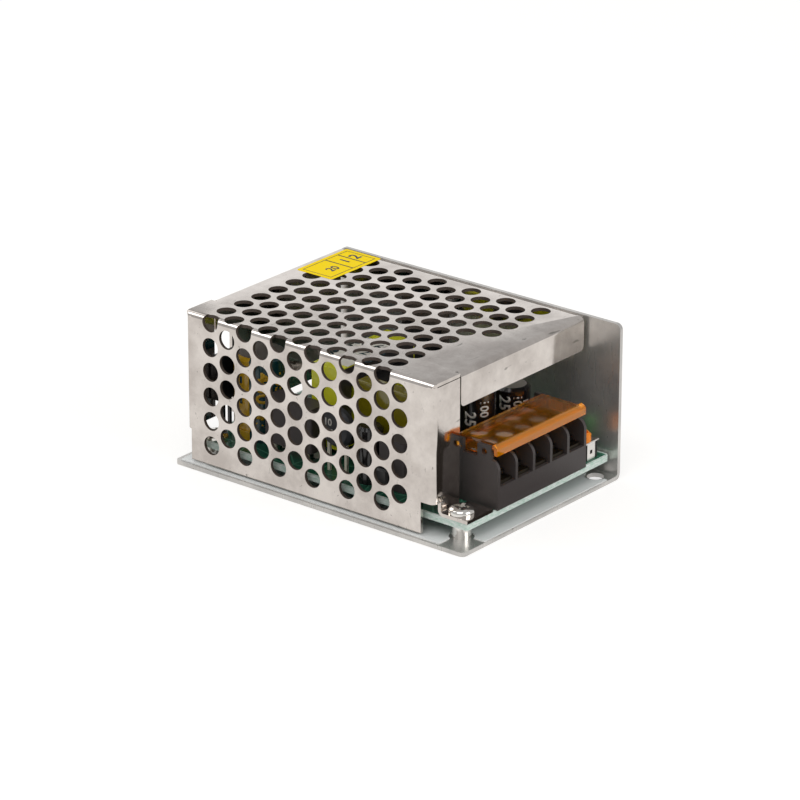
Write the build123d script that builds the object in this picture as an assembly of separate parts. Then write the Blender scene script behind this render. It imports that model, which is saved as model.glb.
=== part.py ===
from build123d import *
import math
import os

# A mini enclosed power supply, 85 x 58 x 38 mm, in millimetres.
# +X points to the terminal end, -Y to the perforated side, +Z up.
# The origin is the middle of the underside of the chassis base.

# Case
case_length = 85.0
case_width = 58.0
case_height = 38.0
base_sheet = 1.0
cover_sheet = 0.8
fold_radius = 0.6
fold_overlap = 0.5
ledge_side = 1.5
porch_front = 9.5
ledge_rear = 2.6
wall_rear_step = 2.5
wall_corner_radius = 1.5
base_corner_radius = 1.2
cover_clearance = 0.2
side_floor_gap = 0.7
mount_hole_radius = 2.0
mount_hole_inset_x = 3.7
mount_hole_inset_y = 4.4

# Folded ends of the cover
flange_width = 9.1
lip_gap = 0.4
lip_height = 8.1
lip_corner_radius = 1.2
flange_bottom = 9.3
rear_slot_width = 5.7
rear_panel_bottom = 8.0
inner_flange_height = 7.0
dimple_radius = 1.4
dimple_spacing = 50.0
dimple_drop = 5.0
dimple_clearance = 0.05
notch_length = 3.7
notch_depth = 1.2
foot_length = 7.5
foot_left_inset = 2.5
foot_right_overhang = 2.6
foot_bend_relief = 0.4
relief_radius = 0.7

# Perforation of the cover
punch_radius = 2.28
punch_sides = 12
row_pitch = 6.05
column_pitch = 5.05
column_count = 12
pattern_offset = -1.15
side_rows = 5
top_rows = 8
side_row_offset = 1.2
top_row_offset = -0.3
blank_rows_last_column = 5

# Circuit board and what carries it
board_thickness = 1.6
board_rear_inset = 3.0
board_front_inset = 2.1
board_side_inset = 4.1
board_wall_gap = 0.5
board_corner_radius = 0.8
standoff_height = 3.4
standoff_radius = 2.2
standoff_shank_radius = 1.7
screw_radius = 1.5
screw_head_radius = 3.0
screw_head_height = 2.0
screw_recess_depth = 1.2
screw_recess_width = 0.9
screw_hole_clearance = 0.2
screw_reach = 2.6
post_front_inset = 4.0
post_rear_inset = 3.3
post_left_inset = 3.1
post_right_inset = 5.5
post_right_rear_inset = 11.5
post_behind_block = 13.5
film_thickness = 0.2
film_rear_inset = 1.2
film_front_inset = 0.3
film_left_inset = 0.7
film_right_inset = 3.6
film_relief_radius = 2.9
film_hole_relief_radius = 2.6
film_notch_behind = 1.3
film_notch_beside = 0.8
lead_radius = 0.35
lead_clearance = 0.05
lead_tail = 0.9

# Terminal block
poles = 5
pole_pitch = 6.35
divider = 0.85
block_depth = 14.4
block_front_inset = 1.6
block_centre_y = 1.7
cell_depth = 9.9
cell_floor_height = 5.5
divider_height = 11.8
ear_height = 3.1
ear_length = 3.9
ear_front_inset = 2.0
rear_post_length = 4.5
nose_radius = 2.4
catch_hole_radius = 0.75
contact_thickness = 0.8
contact_length = 8.6
contact_side_gap = 0.25
contact_pin_inset = 1.2
pin_radius = 0.6
clamp_thickness = 0.8
clamp_length = 6.4
clamp_side_gap = 0.2
clamp_rest_gap = 0.2
head_gap = 0.05
clamp_screw_radius = 1.4
clamp_head_radius = 2.45
clamp_head_height = 2.5
clamp_screw_reach = 4.8
clamp_screw_clearance = 0.08
clamp_screw_tip_gap = 0.4
clamp_corner_radius = 0.6
clamp_slot_width = 0.8
clamp_slot_depth = 0.9
clamp_screw_setback = 6.1

# Flip-up lid over the terminals
lid_thickness = 0.9
lid_top_gap = 0.4
lid_skirt_depth = 1.5
lid_side_skirt_depth = 2.4
lid_end_gap = 0.2
lid_rear_inset = 2.4
lid_front_inset = 0.3
lid_edge_radius = 1.2
lid_pivot_setback = 3.4
lid_pivot_drop = 2.0
lid_pin_radius = 0.6
lid_pin_clearance = 0.06
lid_arm_radius = 1.1
lid_nose_gap = 0.3
lid_pin_length = 0.8
lid_rear_drop = 0.3
catch_drop = 1.6
catch_bump_radius = 0.55
catch_bump_height = 0.12

# Transformer
core_from_rear = 30.45
core_from_left = 26.55
core_length = 26.5
core_depth = 8.2
core_top = 27.7
core_lift = 2.6
core_yoke = 4.0
core_leg = 7.0
tape_thickness = 0.3
bobbin_wall = 0.8
bobbin_gap = 0.15
winding_depth = 4.2
winding_edge_radius = 2.0
pin_rail_depth = 3.2
rail_pins = 4
rail_pin_pitch = 3.8
sticker_thickness = 0.08
sticker_length = 17.0
sticker_offset = 2.0

# Parts standing on the board
bulk_radius = 6.4
bulk_from_rear = 10.0
bulk_from_left = 14.3
bulk_top = 26.5
bulk_lead_pitch = 5.0
output_radius = 4.2
output_behind_block = 5.5
output_from_right = 11.4
output_spacing = 12.9
output_tall_top = 27.0
output_short_top = 22.2
output_lead_pitch = 3.5
can_edge_radius = 0.7
can_groove_depth = 0.35
can_groove_height = 1.3
can_groove_offset = 2.6
rectifier_gap = 0.4
rectifier_depth = 2.4
rectifier_from_left = 7.3
rectifier_width = 12.0
rectifier_bottom = 14.0
rectifier_height = 11.0
rectifier_lead_pitch = 2.2
choke_from_rear = 17.5
choke_length = 14.0
choke_from_left = 6.5
choke_depth = 5.8
choke_bottom = 8.6
choke_top = 19.5
choke_pin_inset_x = 2.2
choke_pin_inset_y = 1.0
choke_sleeve_radius = 0.8
disc_from_rear = 38.7
disc_from_left = 7.5
disc_z = 17.1
disc_radius = 4.75
disc_thickness = 3.0
disc_edge_radius = 0.9
disc_lead_pitch = 5.0
film_cap_from_rear = 39.3
film_cap_length = 14.9
film_cap_from_left = 13.3
film_cap_depth = 3.6
film_cap_top = 27.0
film_cap_edge = 0.5
drum_from_rear = 47.2
drum_from_left = 8.6
drum_radius = 3.1
drum_top = 19.5
filter_from_rear = 50.9
filter_length = 7.4
filter_from_left = 7.0
filter_depth = 5.4
filter_top = 18.0
fuse_from_rear = 51.7
fuse_length = 4.0
fuse_from_left = 4.1
fuse_depth = 2.7
fuse_bottom = 7.2
fuse_top = 11.8
pad_from_rear = 18.5
pad_length = 14.0
pad_bottom = 13.0
pad_top_gap = 0.1
pad_thickness = 0.25
transistor_from_rear = 20.5
transistor_length = 10.0
transistor_bottom = 13.8
transistor_top = 24.8
transistor_depth = 4.4
transistor_lead_pitch = 2.54
opto_behind_block = 23.0
opto_from_right = 6.0
opto_length = 4.6
opto_width = 6.4
opto_height = 3.4
led_from_block_rear = 4.0
led_from_block_end = 4.5
led_radius = 1.5
led_height = 5.3
led_flange_radius = 1.9
led_flange_height = 0.9
trimmer_front_inset = 1.3
trimmer_depth = 3.7
trimmer_from_block = 1.4
trimmer_width = 5.2
trimmer_height = 4.2
rotor_from_front = 1.7
rotor_from_left = 2.0
rotor_radius = 1.9
rotor_height = 2.7
rotor_edge_radius = 1.1
rotor_shaft_radius = 1.0
rotor_shaft_length = 1.6
rotor_slot_width = 0.6
rotor_gap = 0.06
tab_from_left = 1.1
tab_width = 2.9
tab_thickness = 0.3
tab_overhang = 0.4
tab_window = 0.9
label_rear_inset = 2.2
label_length = 10.7
label_right_inset = 0.3
label_width = 18.3
label_thickness = 0.08

# Values that follow from the ones above
x_rear = -case_length / 2
x_front = case_length / 2
y_left = -case_width / 2
y_right = case_width / 2
y_wall = y_right - base_sheet
cover_left = y_left + ledge_side
cover_right = y_wall - cover_clearance
cover_rear = x_rear + ledge_rear
cover_front = x_front - porch_front
cover_top = case_height
cover_under = case_height - cover_sheet
lip_left = cover_left + flange_width + lip_gap
rear_panel_left = lip_left + rear_slot_width
flange_right = cover_left + flange_width
board_bottom = base_sheet + standoff_height
board_top = board_bottom + board_thickness
board_rear = x_rear + board_rear_inset
board_front = x_front - board_front_inset
board_left = y_left + board_side_inset
board_right = y_wall - board_wall_gap
block_front = x_front - block_front_inset
block_rear = block_front - block_depth
block_width = poles * pole_pitch + divider
block_left = block_centre_y - block_width / 2
block_right = block_left + block_width
cell_back = block_front - cell_depth
cell_floor = board_top + cell_floor_height
divider_top = board_top + divider_height
ear_top = divider_top + ear_height
ear_front = block_front - ear_front_inset
ear_centre_x = ear_front - ear_length / 2
lid_pivot_x = block_rear + lid_pivot_setback
lid_pivot_z = ear_top - lid_pivot_drop
lid_top = ear_top + lid_top_gap
catch_z = ear_top - catch_drop
contact_pin_x = cell_back + contact_pin_inset
rotor_seat = board_top + trimmer_height + tab_thickness + rotor_gap
post_front_x = board_front - post_front_inset
post_rear_x = board_rear + post_rear_inset
post_left_y = board_left + post_left_inset
post_right_y = board_right - post_right_inset
post_right_rear_x = board_rear + post_right_rear_inset
post_middle_x = block_rear - post_behind_block
core_x = board_rear + core_from_rear
core_y = cover_left + core_from_left
bulk_place = (board_rear + bulk_from_rear, cover_left + bulk_from_left)
output_x = block_rear - output_behind_block
output_short_place = (output_x, board_right - output_from_right)
output_tall_place = (output_x, board_right - output_from_right - output_spacing)
rectifier_rear = cover_rear + cover_sheet + rectifier_gap
rectifier_left = cover_left + rectifier_from_left
choke_rear = board_rear + choke_from_rear
choke_left = cover_left + choke_from_left
disc_x = board_rear + disc_from_rear
disc_y = cover_left + disc_from_left
film_cap_rear = board_rear + film_cap_from_rear
film_cap_left = cover_left + film_cap_from_left
drum_place = (board_rear + drum_from_rear, cover_left + drum_from_left)
filter_rear = board_rear + filter_from_rear
filter_left = cover_left + filter_from_left
fuse_rear = board_rear + fuse_from_rear
fuse_left = cover_left + fuse_from_left
pad_rear = board_rear + pad_from_rear
pad_top = cover_top - inner_flange_height - pad_top_gap
transistor_rear = board_rear + transistor_from_rear
opto_place = (block_rear - opto_behind_block, board_right - opto_from_right)
led_place = (block_rear + led_from_block_rear, block_right + led_from_block_end)
trimmer_front = board_front - trimmer_front_inset
trimmer_left = block_right + trimmer_from_block
rotor_x = trimmer_front - rotor_from_front
rotor_y = trimmer_left + rotor_from_left
tab_left = trimmer_left + tab_from_left
clamp_screw_x = block_front - clamp_screw_setback
contact_top = cell_floor + contact_thickness
clamp_bottom = contact_top + clamp_rest_gap
clamp_top = clamp_bottom + clamp_thickness


def span(x0, x1, y0, y1, z0, z1):
    """A plain block between two corners."""
    middle = ((x0 + x1) / 2, (y0 + y1) / 2, (z0 + z1) / 2)
    return Pos(*middle) * Box(x1 - x0, y1 - y0, z1 - z0)


def upright(x, y, z0, z1, radius):
    """A round bar standing along Z."""
    return Pos(x, y, (z0 + z1) / 2) * Cylinder(radius, z1 - z0)


def crossbar(x, z, y0, y1, radius):
    """A round bar lying along Y."""
    return Pos(x, (y0 + y1) / 2, z) * Rot(90, 0, 0) * Cylinder(radius, y1 - y0)


def lead(x, y, z0, z1, radius):
    """A square lead or pin standing along Z, as wide as the radius on each side."""
    return span(x - radius, x + radius, y - radius, y + radius, z0, z1)


def folded(points, sheet, plane, length):
    """A strip of sheet folded along a path through its middle, and as wide as length."""
    path = FilletPolyline(*points, radius=fold_radius + sheet / 2)
    return extrude(plane * trace(path, line_width=sheet), amount=length)


def write(name, shape):
    """One STEP file for one named piece."""
    export_step(shape, os.path.join("parts", name + ".step"))


def pole_centre(index):
    """Y of the middle of a terminal cell, counted from the perforated side."""
    return block_left + divider / 2 + (index + 0.5) * pole_pitch


def post_places():
    """The four screw positions of the circuit board."""
    return [
        (post_front_x, post_left_y),
        (post_rear_x, post_left_y),
        (post_right_rear_x, post_right_y),
        (post_middle_x, post_right_y),
    ]


def chassis():
    """Base plate and right-hand wall, folded from one sheet."""
    half = base_sheet / 2
    points = [(y_left, half), (y_right - half, half), (y_right - half, cover_top)]
    sheet = folded(points, base_sheet, Plane.YZ.offset(x_rear), case_length)
    step_top = cover_top + 1
    sheet -= span(x_rear, x_rear + wall_rear_step, y_wall - 1, y_right, 2 * base_sheet, step_top)
    wall_ends = sheet.edges().filter_by(Axis.Y).group_by(Axis.Z)[-1]
    sheet = fillet(wall_ends, wall_corner_radius)
    base_ends = sheet.edges().filter_by(Axis.Z).group_by(Axis.Y)[0]
    sheet = fillet(base_ends, base_corner_radius)
    for x, y in post_places():
        sheet -= upright(x, y, 0, base_sheet, standoff_shank_radius)
    for side in (-1, 1):
        hole_x = side * (x_front - mount_hole_inset_x)
        sheet -= upright(hole_x, y_right - mount_hole_inset_y, 0, base_sheet, mount_hole_radius)
    for x in dimple_places():
        dimple_z = cover_top - dimple_drop
        sheet -= crossbar(x, dimple_z, y_wall, y_right, dimple_radius + dimple_clearance)
    return sheet


def dimple_places():
    """X of the two pressed dimples that locate the cover in the wall."""
    middle = (cover_rear + cover_front) / 2
    return [middle - dimple_spacing / 2, middle + dimple_spacing / 2]


def cover_shell():
    """Perforated side, top and the hidden flange inside the wall."""
    half = cover_sheet / 2
    points = [
        (cover_left + half, base_sheet + side_floor_gap),
        (cover_left + half, cover_top - half),
        (cover_right - half, cover_top - half),
        (cover_right - half, cover_top - inner_flange_height),
    ]
    length = cover_front - cover_rear
    shell = folded(points, cover_sheet, Plane.YZ.offset(cover_rear), length)
    reach = fold_radius + cover_sheet
    for end, inward in ((cover_front, -1), (cover_rear, 1)):
        x0, x1 = sorted((end, end + inward * reach))
        flange_top = cover_under - lip_gap / 2
        shell -= span(x0, x1, cover_left - 1, cover_left + reach, 0, flange_top)
        shell -= span(x0, x1, lip_left - lip_gap, cover_right + 1, 0, cover_top + 1)
        shell -= upright(end, cover_left, flange_top, cover_top, relief_radius)
    return shell


def end_lip(end, inward):
    """The edge of the top folded down over one open end."""
    half = cover_sheet / 2
    far = end + inward * (fold_radius + cover_sheet + fold_overlap)
    face = end + inward * half
    points = [(far, cover_top - half), (face, cover_top - half), (face, cover_top - lip_height)]
    width = cover_right - cover_sheet - lip_left
    lip = folded(points, cover_sheet, Plane.XZ.offset(-lip_left), -width)
    corners = lip.edges().filter_by(Axis.X).group_by(Axis.Z)[0]
    return fillet(corners, lip_corner_radius)


def end_flange(end, inward):
    """The edge of the perforated side folded round one open end."""
    half = cover_sheet / 2
    far = end + inward * (fold_radius + cover_sheet + fold_overlap)
    face = end + inward * half
    points = [(far, cover_left + half), (face, cover_left + half), (face, flange_right)]
    height = cover_under - lip_gap / 2 - flange_bottom
    return folded(points, cover_sheet, Plane.XY.offset(flange_bottom), height)


def cover_foot():
    """The front flange's foot, which a screw clamps to the circuit board."""
    half = cover_sheet / 2
    face = cover_front - half
    points = [
        (face, flange_bottom + 1),
        (face, board_top + half),
        (cover_front + foot_length, board_top + half),
    ]
    left = cover_left + foot_left_inset
    foot = folded(points, cover_sheet, Plane.XZ.offset(-left), left - flange_right)
    foot += span(
        cover_front + foot_bend_relief,
        cover_front + foot_length,
        flange_right - 1,
        flange_right + foot_right_overhang,
        board_top,
        board_top + cover_sheet,
    )
    hole = screw_radius + screw_hole_clearance
    return foot - upright(post_front_x, post_left_y, board_top, board_top + cover_sheet, hole)


def punches():
    """Every punch of the staggered pattern, carried round the fold of the sheet."""
    middle = (cover_rear + cover_front) / 2 + pattern_offset
    first = middle - column_pitch * (column_count - 1) / 2
    outline = RegularPolygon(punch_radius, punch_sides, rotation=180 / punch_sides)
    depth = 2 * cover_sheet
    down = extrude(outline, amount=depth, both=True)
    across = Rot(90, 0, 0) * down
    tools = []
    for column in range(column_count):
        x = first + column * column_pitch
        start = 0 if column % 2 == 0 else 0.5
        rows_here = side_rows + 1 if column % 2 == 0 else side_rows
        for row in range(rows_here):
            z = cover_top - side_row_offset - (start + row) * row_pitch
            tools.append(Pos(x, cover_left, z) * across)
        for row in range(top_rows + 1):
            place = start + row
            if column == column_count - 1 and place < blank_rows_last_column:
                continue
            y = cover_left + top_row_offset + place * row_pitch
            tools.append(Pos(x, y, cover_top) * down)
    return tools


def perforated_cover():
    """Side, top, lips, flanges and foot, folded from one perforated sheet."""
    sheet = cover_shell()
    for end, inward in ((cover_front, -1), (cover_rear, 1)):
        sheet += end_lip(end, inward)
        sheet += end_flange(end, inward)
    sheet += cover_foot()
    panel_top = cover_top - lip_height + lip_corner_radius
    panel_right = cover_right - cover_sheet
    panel = span(
        cover_rear, cover_rear + cover_sheet, rear_panel_left, panel_right, rear_panel_bottom, panel_top
    )
    panel_corners = panel.edges().filter_by(Axis.X).group_by(Axis.Z)[0]
    sheet += fillet(panel_corners, lip_corner_radius)
    notch_end = cover_front - fold_radius - cover_sheet
    sheet -= span(
        cover_front - notch_length, notch_end + 1, cover_left - 1, cover_left + notch_depth, 0, flange_bottom
    )
    for x in dimple_places():
        dimple_z = cover_top - dimple_drop
        sheet += crossbar(x, dimple_z, cover_right, y_right - cover_clearance, dimple_radius)
    return sheet - punches()


def insulating_film():
    """Thin clear film between the base and the soldered side of the board."""
    film = span(
        x_rear + film_rear_inset,
        x_front - film_front_inset,
        y_left + film_left_inset,
        y_wall - film_right_inset,
        base_sheet,
        base_sheet + film_thickness,
    )
    for x, y in post_places():
        film -= upright(x, y, 0, case_height / 2, film_relief_radius)
    corner_x = x_front - mount_hole_inset_x
    corner_y = y_right - mount_hole_inset_y
    for side in (-1, 1):
        film -= upright(side * corner_x, corner_y, 0, case_height / 2, film_hole_relief_radius)
    notch_rear = post_front_x - film_notch_behind
    notch_right = post_left_y + film_notch_beside
    return film - span(notch_rear, x_front, y_left, notch_right, 0, case_height / 2)


def standoffs():
    """Four round posts riveted into the base, one under each board screw."""
    posts = []
    for x, y in post_places():
        post = upright(x, y, base_sheet, board_bottom, standoff_radius)
        post += upright(x, y, 0, base_sheet, standoff_shank_radius)
        post -= upright(x, y, base_sheet / 2, board_bottom, screw_radius)
        posts.append(post)
    return Compound(posts)


def pan_screw(x, y, seat, reach):
    """A cross-recessed pan head screw pointing down, its head on the seat."""
    head = upright(x, y, seat, seat + screw_head_height, screw_head_radius)
    rim = head.edges().filter_by(GeomType.CIRCLE).group_by(Axis.Z)[-1]
    head = fillet(rim, screw_head_height * 0.6)
    top = seat + screw_head_height
    length = screw_head_radius * 1.1
    for slot in ((length, screw_recess_width), (screw_recess_width, length)):
        head -= Pos(x, y, top) * Box(slot[0], slot[1], 2 * screw_recess_depth)
    return head + upright(x, y, seat - reach, seat, screw_radius)


def board_screws():
    """Four screws that hold the board, one of them through the cover's foot."""
    screws = []
    for index, (x, y) in enumerate(post_places()):
        seat = board_top + (cover_sheet if index == 0 else 0)
        reach = seat - board_bottom + screw_reach
        screws.append(pan_screw(x, y, seat, reach))
    return Compound(screws)


def circuit_board(leads):
    """Bare board with its screw holes and one hole for every component lead."""
    board = span(board_rear, board_front, board_left, board_right, board_bottom, board_top)
    board = fillet(board.edges().filter_by(Axis.Z), board_corner_radius)
    for x, y in post_places():
        board -= upright(x, y, board_bottom, board_top, screw_radius + screw_hole_clearance)
    for x, y, radius in leads:
        board -= lead(x, y, board_bottom, board_top, radius + lead_clearance)
    return board


def cell_walls():
    """Y of the low side of every wall of the terminal block."""
    return [block_left + index * pole_pitch for index in range(poles + 1)]


def terminal_block():
    """Five-way housing: floor, rear wall, rounded dividers and the lid's end posts."""
    block = span(block_rear, block_front, block_left, block_right, board_top, cell_floor)
    rear_top = divider_top - lid_rear_drop
    block += span(block_rear, cell_back, block_left, block_right, cell_floor, rear_top)
    for y in cell_walls():
        wall = span(cell_back - 1, block_front, y, y + divider, cell_floor - 1, divider_top)
        nose = wall.edges().filter_by(Axis.Y).sort_by(Axis.X)[-2:].sort_by(Axis.Z)[-1]
        block += fillet(nose, nose_radius)
    for y in (cell_walls()[0], cell_walls()[-1]):
        rear_post_front = block_rear + rear_post_length
        block += span(block_rear, rear_post_front, y, y + divider, cell_floor, ear_top)
        block += span(ear_front - ear_length, ear_front, y, y + divider, cell_floor, ear_top)
    pin_hole = lid_pin_radius + lid_pin_clearance
    block -= crossbar(lid_pivot_x, lid_pivot_z, block_left, block_right, pin_hole)
    block -= crossbar(ear_centre_x, catch_z, block_left, block_right, catch_hole_radius)
    screw_hole = clamp_screw_radius + clamp_screw_clearance
    hole_bottom = clamp_top + head_gap - clamp_screw_reach - clamp_screw_tip_gap
    for index in range(poles):
        y = pole_centre(index)
        block -= upright(clamp_screw_x, y, hole_bottom, cell_floor, screw_hole)
        block -= lead(contact_pin_x, y, board_top, cell_floor, pin_radius + lead_clearance)
    return block


def terminal_contacts():
    """Five contact plates, each with a solder pin through the block and the board."""
    plates = []
    half_width = (pole_pitch - divider) / 2 - contact_side_gap
    rear = contact_pin_x - pin_radius - contact_side_gap
    for index in range(poles):
        y = pole_centre(index)
        low_y = y - half_width
        plate = span(rear, rear + contact_length, low_y, y + half_width, cell_floor, contact_top)
        plate += lead(contact_pin_x, y, board_bottom - lead_tail, contact_top, pin_radius)
        hole = clamp_screw_radius + clamp_screw_clearance
        plates.append(plate - upright(clamp_screw_x, y, cell_floor, contact_top, hole))
    return Compound(plates)


def clamp_plate(index):
    """The loose plate under one terminal screw, which presses the wire down."""
    y = pole_centre(index)
    half_width = (pole_pitch - divider) / 2 - clamp_side_gap
    rear = clamp_screw_x - clamp_length / 2
    plate = span(rear, rear + clamp_length, y - half_width, y + half_width, clamp_bottom, clamp_top)
    plate = fillet(plate.edges().filter_by(Axis.Z), clamp_corner_radius)
    hole = clamp_screw_radius + clamp_screw_clearance
    return plate - upright(clamp_screw_x, y, clamp_bottom, clamp_top, hole)


def terminal_screw(index):
    """One terminal screw with a cross recess, turning in its clamp plate."""
    y = pole_centre(index)
    seat = clamp_top + head_gap
    top = seat + clamp_head_height
    head = upright(clamp_screw_x, y, seat, top, clamp_head_radius)
    rim = head.edges().filter_by(GeomType.CIRCLE).group_by(Axis.Z)[-1]
    head = chamfer(rim, clamp_head_height * 0.2)
    length = clamp_head_radius * 1.4
    for slot in ((length, clamp_slot_width), (clamp_slot_width, length)):
        head -= Pos(clamp_screw_x, y, top) * Box(slot[0], slot[1], 2 * clamp_slot_depth)
    return head + upright(clamp_screw_x, y, seat - clamp_screw_reach, seat, clamp_screw_radius)


def terminal_lid():
    """Clear flip-up lid with skirts, hinge pins and two small catch bumps."""
    left = block_left + divider + lid_end_gap
    right = block_right - divider - lid_end_gap
    rear = block_rear + lid_rear_inset
    front = block_front - lid_front_inset
    nose_rear = ear_front + lid_nose_gap
    under = lid_top - lid_thickness
    lid = span(rear, front, left, right, under, lid_top)
    lid += span(nose_rear, front, block_left, block_right, under, lid_top)
    skirt_bottom = under - lid_skirt_depth
    lid += span(front - lid_thickness, front, block_left, block_right, skirt_bottom, lid_top)
    edge = lid.edges().filter_by(Axis.Y).group_by(Axis.Z)[-1].sort_by(Axis.X)[-1]
    lid = fillet(edge, lid_edge_radius)
    side_bottom = under - lid_side_skirt_depth
    side_front = ear_front - lid_thickness
    for y in (left, right - lid_thickness):
        lid += span(lid_pivot_x, side_front, y, y + lid_thickness, side_bottom, under)
        lid += crossbar(lid_pivot_x, lid_pivot_z, y, y + lid_thickness, lid_arm_radius)
        lid += span(rear, lid_pivot_x, y, y + lid_thickness, lid_pivot_z, under)
    rib = lid_thickness / 2
    lid += span(lid_pivot_x - rib, lid_pivot_x + rib, left, right, lid_pivot_z, under)
    lid += crossbar(lid_pivot_x, lid_pivot_z, left - lid_pin_length, right + lid_pin_length, lid_pin_radius)
    for y, outward in ((left, -1), (right, 1)):
        tip = y + outward * catch_bump_height
        base_y = y - outward * lid_thickness / 2
        lid += crossbar(ear_centre_x, catch_z, min(tip, base_y), max(tip, base_y), catch_bump_radius)
    return lid


def transformer_core():
    """Closed ferrite core: two yokes, two outer legs and a centre leg."""
    half = core_length / 2
    low = board_top + core_lift
    near = core_x - core_depth / 2
    far = core_x + core_depth / 2
    core = span(near, far, core_y - half, core_y + half, low, core_top)
    window_low = low + core_yoke
    window_top = core_top - core_yoke
    for side in (-1, 1):
        inner = core_y + side * core_leg / 2
        outer = core_y + side * (half - core_yoke)
        y0, y1 = sorted((inner, outer))
        core -= span(near - 1, far + 1, y0, y1, window_low, window_top)
    return core


def transformer_tape():
    """Yellow tape wound once round the outside of the core."""
    half = core_length / 2
    low = board_top + core_lift
    near = core_x - core_depth / 2
    far = core_x + core_depth / 2
    skin = tape_thickness
    tape = span(near, far, core_y - half - skin, core_y + half + skin, low - skin, core_top + skin)
    return tape - span(near - 1, far + 1, core_y - half, core_y + half, low, core_top)


def bobbin_sizes():
    """Half sizes of the bobbin's tube, inside and outside."""
    inner_x = core_depth / 2 + bobbin_gap
    inner_y = core_leg / 2 + bobbin_gap
    return inner_x, inner_y, inner_x + bobbin_wall, inner_y + bobbin_wall


def transformer_bobbin():
    """Tube round the centre leg, two flanges and two pin rails on the board."""
    inner_x, inner_y, outer_x, outer_y = bobbin_sizes()
    low = board_top + core_lift + core_yoke + bobbin_gap
    top = core_top - core_yoke - bobbin_gap
    reach_x = outer_x + winding_depth
    reach_y = outer_y + winding_depth
    bobbin = span(core_x - outer_x, core_x + outer_x, core_y - outer_y, core_y + outer_y, low, top)
    for z in (low, top - bobbin_wall):
        flange_top = z + bobbin_wall
        bobbin += span(
            core_x - reach_x, core_x + reach_x, core_y - reach_y, core_y + reach_y, z, flange_top
        )
    bobbin -= span(
        core_x - inner_x, core_x + inner_x, core_y - inner_y, core_y + inner_y, low, top
    )
    for side in (-1, 1):
        x0, x1 = sorted((core_x + side * (reach_x - pin_rail_depth), core_x + side * reach_x))
        bobbin += span(x0, x1, core_y - reach_y, core_y + reach_y, board_top, low + bobbin_wall)
    for x, y, radius in transformer_leads():
        bobbin += lead(x, y, board_bottom - lead_tail, board_top, radius)
    return bobbin


def transformer_leads():
    """Board positions of the transformer's pins."""
    outer_x = bobbin_sizes()[2]
    rail = outer_x + winding_depth - pin_rail_depth / 2
    places = []
    for side in (-1, 1):
        for index in range(rail_pins):
            y = core_y + (index - (rail_pins - 1) / 2) * rail_pin_pitch
            places.append((core_x + side * rail, y, lead_radius))
    return places


def transformer_winding():
    """Taped winding between the bobbin's flanges."""
    outer_x, outer_y = bobbin_sizes()[2:]
    low = board_top + core_lift + core_yoke + bobbin_gap + bobbin_wall
    top = core_top - core_yoke - bobbin_gap - bobbin_wall
    grown = winding_depth - bobbin_gap
    reach_x = outer_x + grown
    reach_y = outer_y + grown
    coil = span(core_x - reach_x, core_x + reach_x, core_y - reach_y, core_y + reach_y, low, top)
    coil = fillet(coil.edges().filter_by(Axis.Z), winding_edge_radius)
    return coil - span(
        core_x - outer_x, core_x + outer_x, core_y - outer_y, core_y + outer_y, low, top
    )


def transformer_label():
    """White sticker across the top of the taped core."""
    half = sticker_length / 2
    near = core_x - core_depth / 2
    far = core_x + core_depth / 2
    top = core_top + tape_thickness
    return span(near, far, core_y - half - sticker_offset, core_y + half - sticker_offset, top, top + sticker_thickness)


def lead_pair(place, pitch):
    """Board positions of two leads spaced along Y about a centre."""
    x, y = place
    return [(x, y - pitch / 2, lead_radius), (x, y + pitch / 2, lead_radius)]


def with_leads(body, places, seat):
    """A body joined to straight leads that run from the seat down through the board."""
    for x, y, radius in places:
        body += lead(x, y, board_bottom - lead_tail, seat, radius)
    return body


def can_capacitor(place, radius, top, pitch):
    """Electrolytic can on the board: rolled groove near the foot and rounded rim."""
    x, y = place
    can = upright(x, y, board_top, top, radius)
    can = chamfer(can.edges().filter_by(GeomType.CIRCLE).group_by(Axis.Z)[-1], can_edge_radius)
    low = board_top + can_groove_offset
    ring = upright(x, y, low, low + can_groove_height, radius + 1)
    ring -= upright(x, y, low, low + can_groove_height, radius - can_groove_depth)
    return with_leads(can - ring, lead_pair(place, pitch), board_top)


def rectifier_leads():
    """Board positions of the four leads of the bridge rectifier."""
    x = rectifier_rear + rectifier_depth / 2
    middle = rectifier_left + rectifier_width / 2
    places = []
    for index in range(4):
        places.append((x, middle + (index - 1.5) * rectifier_lead_pitch, lead_radius))
    return places


def bridge_rectifier():
    """Flat four-lead rectifier standing at the rear end."""
    front = rectifier_rear + rectifier_depth
    right = rectifier_left + rectifier_width
    top = rectifier_bottom + rectifier_height
    body = span(rectifier_rear, front, rectifier_left, right, rectifier_bottom, top)
    body = fillet(body.edges().filter_by(Axis.X), can_edge_radius)
    return with_leads(body, rectifier_leads(), rectifier_bottom + can_edge_radius)


def choke_pins_places():
    """Board positions of the line choke's four pins."""
    x0 = choke_rear + choke_pin_inset_x
    x1 = choke_rear + choke_length - choke_pin_inset_x
    y0 = choke_left + choke_pin_inset_y
    y1 = choke_left + choke_depth - choke_pin_inset_y
    return [(x, y, lead_radius) for x in (x0, x1) for y in (y0, y1)]


def line_choke():
    """Dark encapsulated block of the line filter."""
    front = choke_rear + choke_length
    right = choke_left + choke_depth
    body = span(choke_rear, front, choke_left, right, choke_bottom, choke_top)
    return fillet(body.edges().filter_by(Axis.Z), can_edge_radius)


def choke_pins():
    """Sleeved pins that carry the line choke above the board."""
    pins = []
    for x, y, radius in choke_pins_places():
        sleeve = upright(x, y, board_top, choke_bottom, choke_sleeve_radius)
        pins.append(sleeve + lead(x, y, board_bottom - lead_tail, board_top, radius))
    return Compound(pins)


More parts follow.
